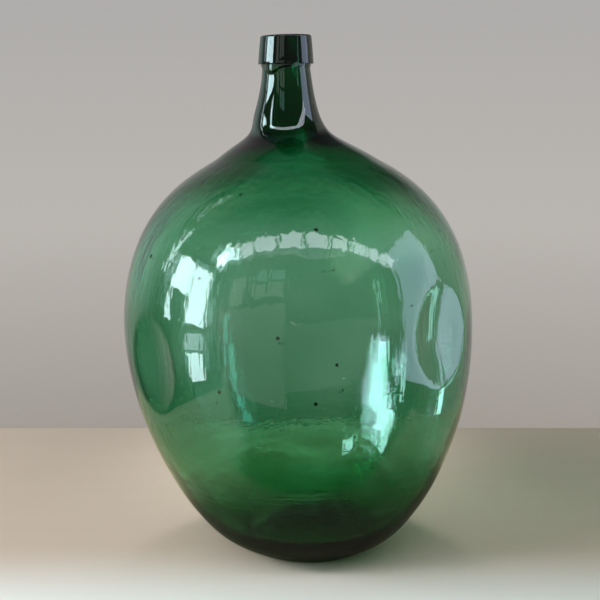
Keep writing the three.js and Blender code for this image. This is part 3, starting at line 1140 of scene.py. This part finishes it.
def residue(tree, place):
    height = height_of(tree, place)
    bands = noise(tree, stretched(tree, place, RESIDUE_BANDS, "bands"), "residue_bands", 5.0, 0.6)
    low = share_between(tree, height, *RESIDUE_HEIGHTS, "towards_the_base")
    patches = share_between(tree, bands, *RESIDUE_PATCHES, "patches")
    veil = times(tree, low, patches, "veil")
    tint = mix_colours(tree, (1, 1, 1), RESIDUE_TINT, veil, "residue_tint")
    for part, (start, end, colour) in DARKER_GLASS.items():
        share = share_between(tree, height, start, end, part)
        tint = mix_colours(tree, tint, colour, share, "darker_" + part)
    wear = share_between(tree, height, *WORN_RING_HEIGHTS, "worn_ring")
    haze = times(tree, veil, RESIDUE_HAZE, "haze")
    return {"Tint": tint, "Roughness": math_node(tree, "MAXIMUM", haze, wear, "rough")}


RESIDUE = effect_group("glass_residue", residue)
print("effect", RESIDUE.name)

# %% [markdown]
# The green comes from iron in the sand. It lies in the glass and not on it, so the thin belly is a
# clear green, while the thick neck and lip are almost black. A coloured skin would give both the
# same green, so a volume that absorbs light does it instead. The skin itself mirrors and bends
# light, and lamps shine through it onto the table.

# %% The glass
GLASS_IOR = 1.52
# How much light a metre of this glass takes off, as a colour that stays and a strength
IRON_TINT = (0.033, 0.657, 0.367)
IRON_STRENGTH = 300.0
# The share of a lamp's light that one skin lets on to the table
LAMP_SHARE = (0.76, 0.76, 0.76)
STONE_COLOUR = (0.02, 0.015, 0.01)
CORD_HEIGHT, SEED_HEIGHT = 0.00018, 0.00035


def raised(tree, height, distance, label, **below):
    """The skin's direction where a relief stands up that many metres."""
    bump = add_node(tree, "ShaderNodeBump", label, Height=height, Distance=distance, **below)
    return bump.outputs["Normal"]


def clear_skin(tree, label, **look):
    glass = {"IOR": GLASS_IOR, "Transmission_Weight": 1.0}
    return add_node(tree, "ShaderNodeBsdfPrincipled", label, **glass, **look).outputs["BSDF"]


def show_glass(tree, surface):
    """Joins the surface and the iron in the glass to the material's output."""
    green = {"Color": IRON_TINT, "Density": IRON_STRENGTH}
    iron = add_node(tree, "ShaderNodeVolumeAbsorption", "iron_in_the_glass", **green).outputs["Volume"]
    add_node(tree, "ShaderNodeOutputMaterial", "output", Surface=surface, Volume=iron)


def vessel_glass():
    material, tree, place = new_material("iron_green_glass")
    veil = use_group(tree, RESIDUE, place)
    stone = use_group(tree, STONES, place)["Mask"]
    tint = mix_colours(tree, veil["Tint"], STONE_COLOUR, stone, "stones")
    waves = raised(tree, use_group(tree, CORDS, place)["Height"], CORD_HEIGHT, "cord_relief")
    relief = use_group(tree, SEEDS, place)["Height"]
    seedy = raised(tree, relief, SEED_HEIGHT, "seed_relief", Normal=waves)
    look = {"Base_Color": tint, "Roughness": veil["Roughness"], "Normal": seedy}
    skin = clear_skin(tree, "glass_skin", **look)
    clear = add_node(tree, "ShaderNodeBsdfTransparent", "light_from_lamps", Color=LAMP_SHARE)
    shadow = add_node(tree, "ShaderNodeLightPath", "path").outputs["Is Shadow Ray"]
    show_glass(tree, mix_shaders(tree, shadow, skin, clear.outputs["BSDF"], "lamps_shine_through"))
    return material


print("iron takes", IRON_STRENGTH, "per metre")

# %% Build the vessel
vessel = mesh_object("blown_vessel", vessel_skin, vessel_faces(len(grid)), vessel_glass())
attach(vessel, "root")
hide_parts("glass_body", "applied_lip")
print("vessel faces", len(vessel.data.polygons))

# %% [markdown]
# While the lip was made, an iron rod held the vessel by the top of its push-up. When the rod was
# knocked off it left a ring of torn glass. Sculpting could make one, but a ring is easier as a
# closed tube whose lower side is lumpy. It is the same glass, only rough and dirty.

# %% The scar's torn glass
SCAR_CHIP = (0.004, 0.004, 0.004)
SCAR_CHIP_HEIGHT = 0.0012
SCAR_ROUGHNESS = {"To_Min": 0.1, "To_Max": 0.6}
SCAR_CLEAN, SCAR_DIRTY = (0.55, 0.62, 0.5), (0.3, 0.36, 0.25)


def scar_glass():
    material, tree, place = new_material("scar_glass")
    chips = noise(tree, stretched(tree, place, SCAR_CHIP, "chips"), "chipped", 4.0, 0.7)
    rough = add_node(tree, "ShaderNodeMapRange", "rough", Value=chips, **SCAR_ROUGHNESS).outputs["Result"]
    dirt = mix_colours(tree, SCAR_CLEAN, SCAR_DIRTY, chips, "dirt")
    relief = raised(tree, chips, SCAR_CHIP_HEIGHT, "chip_relief")
    look = {"Base_Color": dirt, "Roughness": rough, "Normal": relief}
    show_glass(tree, clear_skin(tree, "torn_glass", **look))
    return material


print("scar roughness up to", SCAR_ROUGHNESS["To_Max"])

# %% Build the scar
SCAR_OUTER, SCAR_INNER, SCAR_THICKNESS, SCAR_GAP = 15, 8.5, 2.4, 0.3
SCAR_COLUMNS, SCAR_ROWS = 120, 20
# Each lump wave has a size, how often it comes round the ring, and where it starts
SCAR_LUMPS = [(0.5, 3, 1), (0.35, 7, 0), (0.2, 17, 2)]
# How far the lumps push the ring outwards and down, and how much thinner it is between them
LUMP_SPREAD, LUMP_DROP, LUMP_LOSS = 0.3, 0.45, 0.5
# The ring's width changes by this share, so many times round
WIDTH_CHANGE, WIDTH_WAVES = 0.12, 3
# How full the lower side is, and how far the top is drawn down
SIDE_FULLNESS, TOP_SAG = 0.6, 0.02


def build_scar(material):
    around = np.linspace(0, 2 * math.pi, SCAR_COLUMNS, endpoint=False)[None, :]
    turn = np.linspace(0, 2 * math.pi, SCAR_ROWS, endpoint=False)[:, None]
    middle, half = (SCAR_OUTER + SCAR_INNER) / 2, (SCAR_OUTER - SCAR_INNER) / 2
    lumps = sum(size * np.sin(count * around + start) for size, count, start in SCAR_LUMPS)
    half = half * (1 + WIDTH_CHANGE * np.sin(WIDTH_WAVES * around))
    radius = middle + half * np.cos(turn) + LUMP_SPREAD * lumps
    drop = SCAR_THICKNESS + LUMP_DROP * lumps - LUMP_LOSS
    depth = np.clip(-np.sin(turn), 0, 1) ** SIDE_FULLNESS * drop
    height = PUNT_HEIGHT - SCAR_GAP - depth - TOP_SAG * np.clip(np.sin(turn), 0, 1)
    x = radius * np.sin(around) + axis_shift(PUNT_HEIGHT)
    points = np.stack([x, -radius * np.cos(around), height], 2).reshape(-1, 3) * MM
    index = np.arange(SCAR_ROWS * SCAR_COLUMNS).reshape(SCAR_ROWS, SCAR_COLUMNS)
    up, right = np.roll(index, -1, axis=0), np.roll(index, -1, axis=1)
    faces = np.stack([index, right, np.roll(up, -1, axis=1), up], 2).reshape(-1, 4).tolist()
    return mesh_object("pontil_scar", points, faces, material)


scar = build_scar(scar_glass())
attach(scar, "root")
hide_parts("pontil_mark")
print("scar faces", len(scar.data.polygons))
